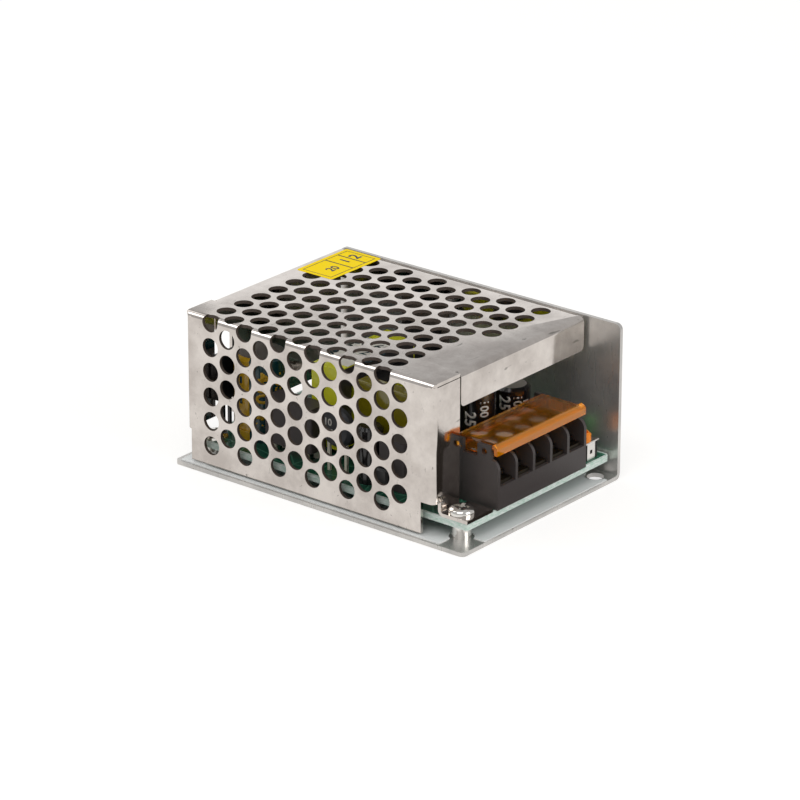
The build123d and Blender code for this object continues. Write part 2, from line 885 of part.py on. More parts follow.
def disc_leads():
    """Board positions of the two leads of the disc thermistor."""
    half = disc_lead_pitch / 2
    return [(disc_x - half, disc_y, lead_radius), (disc_x + half, disc_y, lead_radius)]


def disc_thermistor():
    """Inrush limiter: a thick disc standing on edge over its leads."""
    half = disc_thickness / 2
    disc = crossbar(disc_x, disc_z, disc_y - half, disc_y + half, disc_radius)
    return chamfer(disc.edges().filter_by(GeomType.CIRCLE), disc_edge_radius)


def disc_lead_wires():
    """Two straight wires under the disc, ending flat against its rim."""
    drop = math.sqrt(disc_radius**2 - (disc_lead_pitch / 2 + lead_radius) ** 2)
    wires = []
    for x, y, radius in disc_leads():
        wires.append(lead(x, y, board_bottom - lead_tail, disc_z - drop, radius))
    wires = Compound(wires)
    half = disc_thickness / 2
    return wires - crossbar(disc_x, disc_z, disc_y - half, disc_y + half, disc_radius)


def film_cap_leads():
    """Board positions of the two leads of the film capacitor."""
    y = film_cap_left + film_cap_depth / 2
    x0 = film_cap_rear + film_cap_depth
    x1 = film_cap_rear + film_cap_length - film_cap_depth
    return [(x0, y, lead_radius), (x1, y, lead_radius)]


def film_capacitor():
    """Boxed film capacitor of the line filter."""
    front = film_cap_rear + film_cap_length
    right = film_cap_left + film_cap_depth
    body = span(film_cap_rear, front, film_cap_left, right, board_top, film_cap_top)
    body = fillet(body.edges().group_by(Axis.Z)[-1], film_cap_edge)
    return with_leads(body, film_cap_leads(), board_top)


def drum_choke():
    """Round sleeved choke in front of the film capacitor."""
    x, y = drum_place
    drum = upright(x, y, board_top, drum_top, drum_radius)
    rim = drum.edges().filter_by(GeomType.CIRCLE).group_by(Axis.Z)[-1]
    drum = chamfer(rim, can_edge_radius)
    return with_leads(drum, lead_pair(drum_place, output_lead_pitch), board_top)


def filter_coil_leads():
    """Board positions of the two leads of the dark filter block."""
    y = filter_left + filter_depth / 2
    x0 = filter_rear + filter_depth / 3
    return [(x0, y, lead_radius), (filter_rear + filter_length - filter_depth / 3, y, lead_radius)]


def filter_block():
    """Dark matte block at the terminal end of the perforated side."""
    front = filter_rear + filter_length
    right = filter_left + filter_depth
    body = span(filter_rear, front, filter_left, right, board_top, filter_top)
    body = fillet(body.edges().filter_by(Axis.Z), film_cap_edge)
    return with_leads(body, filter_coil_leads(), board_top)


def fuse_leads():
    """Board positions of the two leads of the small fuse."""
    y = fuse_left + fuse_depth / 2
    middle = fuse_rear + fuse_length / 2
    half = fuse_length / 4
    return [(middle - half, y, lead_radius), (middle + half, y, lead_radius)]


def input_fuse():
    """Small moulded fuse standing next to the perforated side."""
    front = fuse_rear + fuse_length
    right = fuse_left + fuse_depth
    body = span(fuse_rear, front, fuse_left, right, fuse_bottom, fuse_top)
    body = chamfer(body.edges(), film_cap_edge)
    return with_leads(body, fuse_leads(), fuse_bottom + film_cap_edge)


def insulating_pad():
    """Grey pad between the switching transistor and the wall."""
    pad_front = pad_rear + pad_length
    return span(pad_rear, pad_front, y_wall - pad_thickness, y_wall, pad_bottom, pad_top)


def transistor_leads():
    """Board positions of the three leads of the switching transistor."""
    x = transistor_rear + transistor_length / 2
    y = board_right - 2 * lead_radius - 1
    step = transistor_lead_pitch
    return [(x - step, y, lead_radius), (x, y, lead_radius), (x + step, y, lead_radius)]


def switching_transistor():
    """Flat moulded transistor pressed against the pad on the wall."""
    face = y_wall - pad_thickness
    front = transistor_rear + transistor_length
    rear_y = face - transistor_depth
    body = span(transistor_rear, front, rear_y, face, transistor_bottom, transistor_top)
    body = fillet(body.edges().filter_by(Axis.Y), film_cap_edge)
    return with_leads(body, transistor_leads(), transistor_bottom + film_cap_edge)


def opto_leads():
    """Board positions of the four leads of the optocoupler."""
    x, y = opto_place
    step_x = opto_length / 4
    step_y = opto_width / 2 + lead_radius
    return [(x + i * step_x, y + j * step_y, lead_radius) for i in (-1, 1) for j in (-1, 1)]


def optocoupler():
    """Small four-lead package lying on the board."""
    x, y = opto_place
    half_x = opto_length / 2
    half_y = opto_width / 2
    top = board_top + opto_height
    body = span(x - half_x, x + half_x, y - half_y, y + half_y, board_top, top)
    for lead_x, lead_y, radius in opto_leads():
        outward = math.copysign(lead_clearance, lead_y - y)
        body += lead(lead_x, lead_y - outward, board_bottom - lead_tail, board_top + opto_height / 2, radius)
    return body


def indicator_led():
    """Round-topped indicator next to the terminal block."""
    x, y = led_place
    low = board_top + led_flange_height
    led = upright(x, y, board_top, low, led_flange_radius)
    dome = upright(x, y, board_top, board_top + led_height, led_radius)
    led += chamfer(dome.edges().filter_by(GeomType.CIRCLE).group_by(Axis.Z)[-1], led_radius / 2)
    return with_leads(led, lead_pair(led_place, transistor_lead_pitch / 2), board_top)


def trimmer_body():
    """Housing of the output voltage trimmer, with a bore for its rotor."""
    rear = trimmer_front - trimmer_depth
    right = trimmer_left + trimmer_width
    top = board_top + trimmer_height
    body = span(rear, trimmer_front, trimmer_left, right, board_top, top)
    bore_bottom = rotor_seat - rotor_shaft_length - rotor_gap
    body -= upright(rotor_x, rotor_y, bore_bottom, top, rotor_shaft_radius + rotor_gap)
    return with_leads(body, trimmer_leads(), board_top)


def trimmer_leads():
    """Board positions of the trimmer's two leads."""
    x = trimmer_front - trimmer_depth / 2
    middle = trimmer_left + trimmer_width / 2
    return lead_pair((x, middle), transistor_lead_pitch)


def trimmer_rotor():
    """Orange domed rotor on a short shaft, with a driver slot."""
    low = rotor_seat
    dome = upright(rotor_x, rotor_y, low, low + rotor_height, rotor_radius)
    rim = dome.edges().filter_by(GeomType.CIRCLE).group_by(Axis.Z)[-1]
    dome = chamfer(rim, rotor_edge_radius)
    dome += upright(rotor_x, rotor_y, low - rotor_shaft_length, low, rotor_shaft_radius)
    slot = Box(rotor_radius * 2, rotor_slot_width, 2 * rotor_slot_width)
    return dome - Pos(rotor_x, rotor_y, low + rotor_height) * slot


def trimmer_bracket():
    """Plated sheet over the trimmer, its front tab bent down to the board."""
    rear = trimmer_front - trimmer_depth
    front = trimmer_front + tab_thickness
    right = trimmer_left + trimmer_width + tab_overhang
    low = board_top + trimmer_height
    top = low + tab_thickness
    sheet = span(rear, front, trimmer_left, right, low, top)
    sheet += span(trimmer_front, front, tab_left, tab_left + tab_width, board_top, top)
    outer = sheet.edges().filter_by(Axis.Y).group_by(Axis.Z)[-1].sort_by(Axis.X)[-1]
    sheet = fillet(outer, tab_thickness * 0.8)
    middle = tab_left + tab_width / 2
    middle_z = board_top + trimmer_height / 2
    sheet -= Pos(front, middle, middle_z) * Box(2 * tab_thickness + 0.1, tab_window, tab_window)
    return sheet - upright(rotor_x, rotor_y, low, top, rotor_shaft_radius + rotor_gap)


def date_label():
    """Thin sticker on the top of the cover, at the rear corner of the wall side."""
    label_rear = cover_rear + label_rear_inset
    label_front = label_rear + label_length
    label_right = cover_right - label_right_inset
    label_left = label_right - label_width
    label_top = cover_top + label_thickness
    return span(label_rear, label_front, label_left, label_right, cover_top, label_top)


def board_leads():
    """Every component lead that needs a hole in the board."""
    leads = [(contact_pin_x, pole_centre(index), pin_radius) for index in range(poles)]
    leads += lead_pair(bulk_place, bulk_lead_pitch)
    leads += lead_pair(output_tall_place, output_lead_pitch)
    leads += lead_pair(output_short_place, output_lead_pitch)
    leads += lead_pair(drum_place, output_lead_pitch)
    leads += lead_pair(led_place, transistor_lead_pitch / 2)
    leads += transformer_leads()
    leads += rectifier_leads()
    leads += choke_pins_places()
    leads += disc_leads()
    leads += film_cap_leads()
    leads += filter_coil_leads()
    leads += fuse_leads()
    leads += transistor_leads()
    leads += opto_leads()
    leads += trimmer_leads()
    return leads


os.makedirs("parts", exist_ok=True)

write("chassis", chassis())
write("perforated_cover", perforated_cover())
write("insulating_film", insulating_film())
write("circuit_board", circuit_board(board_leads()))
write("board_standoffs", standoffs())
write("board_screws", board_screws())
write("terminal_block", terminal_block())
write("terminal_contacts", terminal_contacts())
for number in range(poles):
    write(f"clamp_plate_{number + 1}", clamp_plate(number))
    write(f"terminal_screw_{number + 1}", terminal_screw(number))
write("terminal_lid", terminal_lid())
write("transformer_core", transformer_core())
write("transformer_tape", transformer_tape())
write("transformer_bobbin", transformer_bobbin())
write("transformer_winding", transformer_winding())
write("transformer_label", transformer_label())
bulk = can_capacitor(bulk_place, bulk_radius, bulk_top, bulk_lead_pitch)
write("bulk_capacitor", bulk)
tall = can_capacitor(output_tall_place, output_radius, output_tall_top, output_lead_pitch)
write("output_capacitor_1", tall)
short = can_capacitor(output_short_place, output_radius, output_short_top, output_lead_pitch)
write("output_capacitor_2", short)
write("bridge_rectifier", bridge_rectifier())
write("line_choke", line_choke())
write("choke_pins", choke_pins())
write("disc_thermistor", disc_thermistor())
write("thermistor_leads", disc_lead_wires())
write("film_capacitor", film_capacitor())
write("drum_choke", drum_choke())
write("filter_block", filter_block())
write("input_fuse", input_fuse())
write("insulating_pad", insulating_pad())
write("switching_transistor", switching_transistor())
write("optocoupler", optocoupler())
write("indicator_led", indicator_led())
write("trimmer_body", trimmer_body())
write("trimmer_rotor", trimmer_rotor())
write("trimmer_bracket", trimmer_bracket())
write("date_label", date_label())
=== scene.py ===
import math

import bpy
from mathutils import Matrix, Vector


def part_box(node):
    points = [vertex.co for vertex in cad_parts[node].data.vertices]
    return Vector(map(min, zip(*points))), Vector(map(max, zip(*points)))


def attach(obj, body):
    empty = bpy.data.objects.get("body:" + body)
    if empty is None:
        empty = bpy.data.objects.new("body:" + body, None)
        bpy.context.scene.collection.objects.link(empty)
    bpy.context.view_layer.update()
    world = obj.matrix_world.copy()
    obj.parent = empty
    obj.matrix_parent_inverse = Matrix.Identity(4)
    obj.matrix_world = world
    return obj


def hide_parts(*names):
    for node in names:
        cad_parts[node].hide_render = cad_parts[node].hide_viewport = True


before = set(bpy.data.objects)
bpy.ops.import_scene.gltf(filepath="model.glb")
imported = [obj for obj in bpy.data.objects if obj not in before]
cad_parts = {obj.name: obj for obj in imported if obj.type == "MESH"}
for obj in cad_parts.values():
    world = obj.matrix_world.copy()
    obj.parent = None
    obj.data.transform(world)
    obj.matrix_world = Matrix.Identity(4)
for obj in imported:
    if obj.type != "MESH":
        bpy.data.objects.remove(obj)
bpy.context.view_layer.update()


# Studio: a white paper sweep under four softboxes, in front of a camera with a long lens.
# The lens stands about a metre away, so the case's parallel edges stay nearly parallel.
MM = 0.001
aim_point = Vector((-4.5, -0.5, 19.0)) * MM
camera_azimuth = math.radians(39.36)
camera_elevation = math.radians(21.79)
camera_distance = 1.001
toward_camera = Vector((
    math.sin(camera_azimuth) * math.cos(camera_elevation),
    -math.cos(camera_azimuth) * math.cos(camera_elevation),
    math.sin(camera_elevation),
))
camera_data = bpy.data.cameras.new("product_camera")
camera_data.lens = 196.3
camera_data.sensor_width = 36.0
camera_data.shift_x = 0.02504
camera_data.shift_y = -0.01206
camera_data.clip_start = 0.05
camera_data.clip_end = 20.0
camera = bpy.data.objects.new("product_camera", camera_data)
bpy.context.scene.collection.objects.link(camera)
camera.location = aim_point + toward_camera * camera_distance
camera.rotation_euler = toward_camera.to_track_quat("Z", "Y").to_euler()
bpy.context.scene.camera = camera
bpy.context.scene.view_settings.view_transform = "Standard"


def linear(code):
    """An sRGB hex colour as the linear values that a shader reads."""
    parts = [int(code[i:i + 2], 16) / 255 for i in (1, 3, 5)]
    parts = [p / 12.92 if p <= 0.04045 else ((p + 0.055) / 1.055) ** 2.4 for p in parts]
    return (*parts, 1.0)


def add_node(tree, kind, sockets=None, **settings):
    """One shader node: settings are its properties or sockets, sockets take a value or (node, output)."""
    made = tree.nodes.new(kind)
    for name, value in settings.items():
        if hasattr(made, name):
            setattr(made, name, value)
        else:
            made.inputs[name.replace("_", " ")].default_value = value
    for socket, value in (sockets or {}).items():
        if isinstance(value, tuple) and isinstance(value[0], bpy.types.Node):
            source, output = value
            tree.links.new(source.outputs[output], made.inputs[socket])
        else:
            made.inputs[socket].default_value = value
    return made


def new_finish(name):
    """An empty material and its node tree, ready for a shader."""
    finish = bpy.data.materials.new(name)
    finish.use_nodes = True
    finish.node_tree.nodes.clear()
    return finish, finish.node_tree


def put_aside_all():
    """Leaves nothing selected, as before each new piece."""
    bpy.ops.object.select_all(action="DESELECT")


paper_size = 6.0
paper_drop = 0.1 * MM
paper_in_mirrors = 0.72
paper_finish, tree = new_finish("white_paper_sweep")
path = add_node(tree, "ShaderNodeLightPath")
mirrored = add_node(
    tree, "ShaderNodeMath", {0: (path, "Is Glossy Ray"), 1: paper_in_mirrors}, operation="MULTIPLY")
seen = add_node(tree, "ShaderNodeMath", {0: (path, "Is Camera Ray"), 1: (mirrored, 0)}, operation="MAXIMUM")
lit = add_node(
    tree, "ShaderNodeMath", {0: (seen, 0), 1: (path, "Is Transmission Ray")}, operation="MAXIMUM")
glow = add_node(tree, "ShaderNodeEmission", {"Strength": (lit, 0)}, Color=linear("#d0d0d0"))
paper = add_node(tree, "ShaderNodeBsdfDiffuse", Color=linear("#b9b7b4"))
both = add_node(tree, "ShaderNodeAddShader", {0: (glow, 0), 1: (paper, 0)})
add_node(tree, "ShaderNodeOutputMaterial", {"Surface": (both, 0)})
put_aside_all()
bpy.ops.mesh.primitive_plane_add(size=paper_size, location=(0.0, 0.0, -paper_drop))
sweep = bpy.context.object
sweep.name = "paper_sweep"
sweep.data.materials.append(paper_finish)

world = bpy.data.worlds.new("studio_air")
bpy.context.scene.world = world
world.use_nodes = True
tree = world.node_tree
tree.nodes.clear()
path = add_node(tree, "ShaderNodeLightPath")
seen = add_node(
    tree, "ShaderNodeMath", {0: (path, "Is Camera Ray"), 1: (path, "Is Transmission Ray")},
    operation="MAXIMUM")
level = add_node(tree, "ShaderNodeMapRange", {"Value": (seen, 0)}, To_Min=0.5, To_Max=1.0)
air = add_node(tree, "ShaderNodeBackground", {"Strength": (level, 0)}, Color=(1.0, 1.0, 1.0, 1.0))
add_node(tree, "ShaderNodeOutputWorld", {"Surface": (air, 0)})

# Each softbox: its place and its side in metres, and its power in watts. All face the origin.
for name, place, side, power in (
    ("key_softbox", (0.25, -0.75, 0.95), 0.8, 4.0),
    ("left_softbox", (-0.62, -0.40, 0.76), 0.4, 1.2),
    ("rear_softbox", (-1.0, 0.1, 0.75), 0.6, 1.2),
    ("right_softbox", (1.0, 0.1, 0.5), 0.6, 4.0),
):
    lamp = bpy.data.lights.new(name, "AREA")
    lamp.shape = "SQUARE"
    lamp.size = side
    lamp.energy = power
    softbox = bpy.data.objects.new(name, lamp)
    bpy.context.scene.collection.objects.link(softbox)
    softbox.location = place
    softbox.rotation_euler = Vector(place).to_track_quat("Z", "Y").to_euler()


# Two cards that only the shiny metal sees: a dark sheet of painted shade before the opening, a white one
# far behind.
# The painted shade stands for the shaded floor and darkens the flange beside the terminals, the white card
# lifts the rear of the top.
upright = math.radians(90)
for name, tone, size, place, turn in (
    # painted shade: a dark glowing sheet on the floor, seen only in the metal's reflections
    ("painted_shade_card", "#2e2a27", (0.04, 0.04, 1.0), (0.064, 0.004, 0.00002), (0.0, 0.0, 0.0)),
    ("white_card", "#fafafa", (1.3, 0.42, 1.0), (-0.634, 0.773, 0.22), (upright, 0.0, camera_azimuth)),
):
    card_finish, tree = new_finish(name)
    card_tone = add_node(tree, "ShaderNodeEmission", Color=linear(tone))
    add_node(tree, "ShaderNodeOutputMaterial", {"Surface": (card_tone, 0)})
    put_aside_all()
    bpy.ops.mesh.primitive_plane_add(size=1.0, location=place, rotation=turn)
    card = bpy.context.object
    card.name = name
    card.scale = size
    card.visible_camera = False
    card.visible_diffuse = False
    card.visible_transmission = False
    card.visible_shadow = False
    card.data.materials.append(card_finish)


# Base and plain wall: one sheet of galvanised steel, sheared and folded once.
# The rolled zinc has fine streaks and cloudy spangle, and its mirror image is soft.
def dress(node, finish):
    """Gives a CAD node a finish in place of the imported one."""
    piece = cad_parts[node]
    piece.data.materials.clear()
    piece.data.materials.append(finish)


def pattern_scale(size_mm):
    """The texture scale whose cells are this wide on the piece."""
    return 1.0 / (size_mm * MM)


def rolled_steel(name, dark, light, roughness, streak_axis, relief, metal=1.0):
    """Galvanised steel: rolling streaks along one axis, soft clouds, and small slanting handling nicks."""
    streak_width_mm = 0.333
    streak_length_mm = 16.7
    cloud_mm = 8.33
    nick_mm = (0.667, 3.85, 1.43)
    nick_slant = (0.5, 0.3, 0.6)
    finish, tree = new_finish(name)
    place = add_node(tree, "ShaderNodeTexCoord")
    stretch = [pattern_scale(streak_width_mm)] * 3
    stretch["XYZ".index(streak_axis)] = pattern_scale(streak_length_mm)
    run = add_node(tree, "ShaderNodeMapping", {"Vector": (place, "Object")}, Scale=tuple(stretch))
    streaks = add_node(
        tree, "ShaderNodeTexNoise", {"Vector": (run, 0)}, Scale=1.0, Detail=3.0, Roughness=0.6)
    clouds = add_node(
        tree, "ShaderNodeTexNoise", {"Vector": (place, "Object")},
        Scale=pattern_scale(cloud_mm), Detail=5.0, Roughness=0.62)
    stain = add_node(tree, "ShaderNodeMapRange", {"Value": (clouds, "Fac")}, From_Min=0.35, From_Max=0.65)
    tint = add_node(
        tree, "ShaderNodeMix", {"Factor": (stain, "Result"), "A": linear(dark), "B": linear(light)},
        data_type="RGBA")
    slant = add_node(
        tree, "ShaderNodeMapping", {"Vector": (place, "Object")},
        Rotation=nick_slant, Scale=tuple(pattern_scale(size) for size in nick_mm))
    scatter = add_node(
        tree, "ShaderNodeTexNoise", {"Vector": (slant, 0)}, Scale=1.0, Detail=2.0, Distortion=1.2)
    nick = add_node(tree, "ShaderNodeMapRange", {"Value": (scatter, "Fac")}, From_Min=0.69, From_Max=0.75)
    marked = add_node(
        tree, "ShaderNodeMix", {"Factor": (nick, "Result"), "A": (tint, "Result"), "B": linear("#a39e98")},
        data_type="RGBA")
    rough = add_node(
        tree, "ShaderNodeMapRange", {"Value": (streaks, "Fac")},
        To_Min=roughness * 0.7, To_Max=roughness * 1.3)
    bump = add_node(
        tree, "ShaderNodeBump", {"Height": (streaks, "Fac")}, Strength=relief, Distance=0.1 * MM)
    steel = add_node(
        tree, "ShaderNodeBsdfPrincipled",
        {"Base Color": (marked, "Result"), "Roughness": (rough, "Result"), "Normal": (bump, 0)},
        Metallic=metal)
    add_node(tree, "ShaderNodeOutputMaterial", {"Surface": (steel, 0)})
    return finish


dress("chassis", rolled_steel("galvanised_steel_base", "#c6c4c1", "#dad7d3", 0.3, "Z", 0.1, metal=0.74))


# Insulating film: a sheet of milky polyester laid over the base, under the solder joints.
# It is glossy, gently wavy, and lets a little of the steel show through.
def moulded(
    name, colour, roughness, grain_mm=0.25, grain=0.1, see_through=0.0, coat=0.0, shine=0.5, spread=0.12,
):
    """Plastic, resin, ink or paper: one colour, with a grain of the given size in its gloss and surface."""
    cell_mm = 4 * grain_mm  # the finest of the noise's three octaves is a quarter of its cell
    finish, tree = new_finish(name)
    place = add_node(tree, "ShaderNodeTexCoord")
    fine = add_node(
        tree, "ShaderNodeTexNoise", {"Vector": (place, "Object")}, Scale=pattern_scale(cell_mm), Detail=2.0)
    even = linear(colour)[:3]
    darker = (*(part * (1.0 - spread) for part in even), 1.0)
    lighter = (*(min(1.0, part * (1.0 + spread)) for part in even), 1.0)
    shade = add_node(
        tree, "ShaderNodeMix", {"Factor": (fine, "Fac"), "A": darker, "B": lighter}, data_type="RGBA")
    rough = add_node(
        tree, "ShaderNodeMapRange", {"Value": (fine, "Fac")},
        To_Min=max(0.02, roughness - 0.05), To_Max=roughness + 0.05)
    bump = add_node(tree, "ShaderNodeBump", {"Height": (fine, "Fac")}, Strength=grain, Distance=0.05 * MM)
    plastic = add_node(
        tree, "ShaderNodeBsdfPrincipled",
        {"Base Color": (shade, "Result"), "Roughness": (rough, "Result"), "Normal": (bump, 0)},
        IOR=1.5, Transmission_Weight=see_through, Coat_Weight=coat, Specular_IOR_Level=shine)
    add_node(tree, "ShaderNodeOutputMaterial", {"Surface": (plastic, 0)})
    return finish


film = moulded("polyester_film", "#f3f8f6", 0.12, grain_mm=5.0, grain=0.4, see_through=0.12)
dress("insulating_film", film)


# Circuit board: 1.6 mm glass laminate, green solder mask on its faces and bare sawn edges.
# The sawn glass and the strip that the mask leaves free along the outline are pale green.
# Tracks show through the mask as paler lines. The glass is drawn coarser than it is, so that it shows.
board_low, board_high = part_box("circuit_board")
board_centre = [(low + high) / 2 for low, high in zip(board_low, board_high)]
free_strip = 0.5 * MM
mask_half_length = (board_high[0] - board_low[0]) / 2 - free_strip
mask_half_width = (board_high[1] - board_low[1]) / 2 - free_strip
track_field_mm = 5.26
glass_mm = (1.43, 1.43, 0.385)
finish, tree = new_finish("green_laminate")
place = add_node(tree, "ShaderNodeTexCoord")
facing = add_node(tree, "ShaderNodeSeparateXYZ", {"Vector": (place, "Normal")})
slope = add_node(tree, "ShaderNodeMath", {0: (facing, "Z")}, operation="ABSOLUTE")
flat = add_node(tree, "ShaderNodeMath", {0: (slope, 0), 1: 0.5}, operation="GREATER_THAN")
centred = add_node(
    tree, "ShaderNodeMapping", {"Vector": (place, "Object")},
    Location=(-board_centre[0], -board_centre[1], 0.0))
outward = add_node(tree, "ShaderNodeVectorMath", {0: (centred, 0)}, operation="ABSOLUTE")
reach = add_node(tree, "ShaderNodeSeparateXYZ", {"Vector": (outward, 0)})
along = add_node(tree, "ShaderNodeMath", {0: (reach, "X"), 1: mask_half_length}, operation="LESS_THAN")
across = add_node(tree, "ShaderNodeMath", {0: (reach, "Y"), 1: mask_half_width}, operation="LESS_THAN")
inside = add_node(tree, "ShaderNodeMath", {0: (along, 0), 1: (across, 0)}, operation="MULTIPLY")
masked = add_node(tree, "ShaderNodeMath", {0: (inside, 0), 1: (flat, 0)}, operation="MULTIPLY")
fields = add_node(
    tree, "ShaderNodeTexVoronoi", {"Vector": (place, "Object")},
    voronoi_dimensions="2D", feature="DISTANCE_TO_EDGE", Scale=pattern_scale(track_field_mm))
track = add_node(
    tree, "ShaderNodeMapRange", {"Value": (fields, "Distance")},
    From_Min=0.03, From_Max=0.05, To_Min=1.0, To_Max=0.0)
mask = add_node(
    tree, "ShaderNodeMix", {"Factor": (track, "Result"), "A": linear("#2b6650"), "B": linear("#4c8a70")},
    data_type="RGBA")
weave = add_node(
    tree, "ShaderNodeMapping", {"Vector": (place, "Object")},
    Scale=tuple(pattern_scale(size) for size in glass_mm))
glass = add_node(tree, "ShaderNodeTexNoise", {"Vector": (weave, 0)}, Scale=1.0, Detail=3.0, Roughness=0.7)
saw = add_node(tree, "ShaderNodeMapRange", {"Value": (glass, "Fac")}, From_Min=0.3, From_Max=0.7)
sawn = add_node(
    tree, "ShaderNodeMix", {"Factor": (saw, "Result"), "A": linear("#b4d4c4"), "B": linear("#f4f9f6")},
    data_type="RGBA")
skin = add_node(
    tree, "ShaderNodeMix", {"Factor": (masked, 0), "A": (sawn, "Result"), "B": (mask, "Result")},
    data_type="RGBA")
gloss = add_node(tree, "ShaderNodeMapRange", {"Value": (masked, 0)}, To_Min=0.55, To_Max=0.2)
relief = add_node(tree, "ShaderNodeMath", {0: (track, "Result"), 1: (masked, 0)}, operation="MULTIPLY")
bump = add_node(tree, "ShaderNodeBump", {"Height": (relief, 0)}, Strength=0.4, Distance=0.05 * MM)
laminate = add_node(
    tree, "ShaderNodeBsdfPrincipled",
    {"Base Color": (skin, "Result"), "Roughness": (gloss, "Result"), "Normal": (bump, 0)}, IOR=1.5)
add_node(tree, "ShaderNodeOutputMaterial", {"Surface": (laminate, 0)})
dress("circuit_board", finish)


# Board posts and trimmer bracket: small turned or pressed steel parts with bright nickel plating.
# Plating mirrors everything sharply and is only a little clouded by handling.
def plated(name, colour, roughness):
    """Bright plating on small metal parts, clouded in soft spots."""
    spot_mm = 1.43
    finish, tree = new_finish(name)
    place = add_node(tree, "ShaderNodeTexCoord")
    wear = add_node(
        tree, "ShaderNodeTexNoise", {"Vector": (place, "Object")}, Scale=pattern_scale(spot_mm), Detail=3.0)
    rough = add_node(
        tree, "ShaderNodeMapRange", {"Value": (wear, "Fac")},
        To_Min=max(0.03, roughness - 0.06), To_Max=roughness + 0.1)
    bright = linear(colour)
    dull = (*(part * 0.88 for part in bright[:3]), 1.0)
    tint = add_node(
        tree, "ShaderNodeMix", {"Factor": (wear, "Fac"), "A": dull, "B": bright}, data_type="RGBA")
    metal = add_node(
        tree, "ShaderNodeBsdfPrincipled", {"Base Color": (tint, "Result"), "Roughness": (rough, "Result")},
        Metallic=1.0)
    add_node(tree, "ShaderNodeOutputMaterial", {"Surface": (metal, 0)})
    return finish


nickel = plated("nickel_plated_steel", "#eeebe6", 0.12)
for part in ("board_standoffs", "trimmer_bracket"):
    dress(part, nickel)


# Board screws: cold-headed M3 pan heads with a cross recess, zinc plated and mirror bright.
# Three clamp the board to its posts; the fourth also holds the foot of the cover down.
# A head is a short disc whose top is drawn up ring by ring into a dome, then cut by two blades.
board_rear, board_left = board_low[0] / MM, board_low[1] / MM
board_front, board_right, board_top = (part / MM for part in board_high)
cover_foot = 0.8
screw_places = (
    (board_front - 4.0, board_left + 3.1, board_top + cover_foot),
    (board_rear + 3.3, board_left + 3.1, board_top),
    (board_rear + 11.5, board_right - 5.5, board_top),
    (board_front - 27.4, board_right - 5.5, board_top),
)
head_radius = 3.0
head_rim = 0.5
dome_rings = ((0.40, 0.97), (0.36, 0.90), (0.26, 0.80), (0.14, 0.66), (0.05, 0.5))
shank_radius = 1.5
shank_length = 4.2
shank_root = 0.2
recess_size = (3.5, 0.85, 1.3)
recess_turn = 20.0
dome_crease = math.radians(35)


def take_up(piece):
    """Leaves one piece selected and active, ready for the next operator."""
    put_aside_all()
    piece.select_set(True)
    bpy.context.view_layer.objects.active = piece


def settle():
    """Puts the active piece's place into its mesh, so that it sits at the origin."""
    bpy.ops.object.transform_apply(location=True, rotation=True, scale=True)


x, y, seat = screw_places[0]
put_aside_all()
bpy.ops.mesh.primitive_cylinder_add(
    vertices=48, radius=head_radius * MM, depth=head_rim * MM,
    location=(x * MM, y * MM, (seat + head_rim / 2) * MM))
screw = bpy.context.object
screw.name = "pan_head_screws"
settle()
bpy.ops.object.mode_set(mode="EDIT")
bpy.ops.mesh.select_all(action="DESELECT")
bpy.ops.object.mode_set(mode="OBJECT")
for face in screw.data.polygons:
    face.select = face.normal.z > 0.9
bpy.ops.object.mode_set(mode="EDIT")
for rise, share in dome_rings:
    bpy.ops.mesh.extrude_region_move(TRANSFORM_OT_translate={"value": (0.0, 0.0, rise * MM)})
    bpy.ops.transform.resize(value=(share, share, 1.0))
bpy.ops.mesh.primitive_cylinder_add(
    vertices=24, radius=shank_radius * MM, depth=shank_length * MM,
    location=(x * MM, y * MM, (seat + shank_root - shank_length / 2) * MM))
bpy.ops.object.mode_set(mode="OBJECT")
head_top = seat + head_rim + sum(rise for rise, share in dome_rings)
for quarter in (0.0, 90.0):
    put_aside_all()
    bpy.ops.mesh.primitive_cube_add(
        size=1.0, location=(x * MM, y * MM, head_top * MM),
        rotation=(0.0, 0.0, math.radians(recess_turn + quarter)))
    blade = bpy.context.object
    blade.scale = tuple(side * MM for side in recess_size)
    settle()
    take_up(screw)
    cut = screw.modifiers.new("recess", "BOOLEAN")
    cut.solver = "EXACT"
    cut.object = blade
    bpy.ops.object.modifier_apply(modifier=cut.name)
    bpy.data.objects.remove(blade)
bpy.ops.object.shade_smooth_by_angle(angle=dome_crease)
screw.data.materials.clear()
screw.data.materials.append(nickel)
for number, place in enumerate(screw_places[1:], start=2):
    twin = screw.copy()
    twin.data = screw.data.copy()
    bpy.context.scene.collection.objects.link(twin)
    twin.location = (Vector(place) - Vector(screw_places[0])) * MM
    take_up(twin)
    settle()
    twin.name = f"pan_head_screw_{number}"
    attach(twin, "case")
    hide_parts("board_screws")
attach(screw, "case")
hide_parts("board_screws")


# Terminal block: black-brown polyamide, injection moulded, matt with a fine grain.
# Its contacts, clamps and screws sit deep in the cells and only glint at the dividers. Their metal is
# painted darker than bare plating, as painted shade for the deep cells.
dress("terminal_block", moulded("black_polyamide", "#403a39", 0.45, grain_mm=0.2, grain=0.3))
# Painted shade: contact and clamp colours are darkened to stand for the shade inside the cells.
dress("terminal_contacts", plated("brass_painted_shade", "#4d473c", 0.4))
clamp_metal_painted_shade = plated("zinc_plating_painted_shade", "#6f6b64", 0.3)
for number in range(1, 6):
    dress(f"clamp_plate_{number}", clamp_metal_painted_shade)
    dress(f"terminal_screw_{number}", clamp_metal_painted_shade)
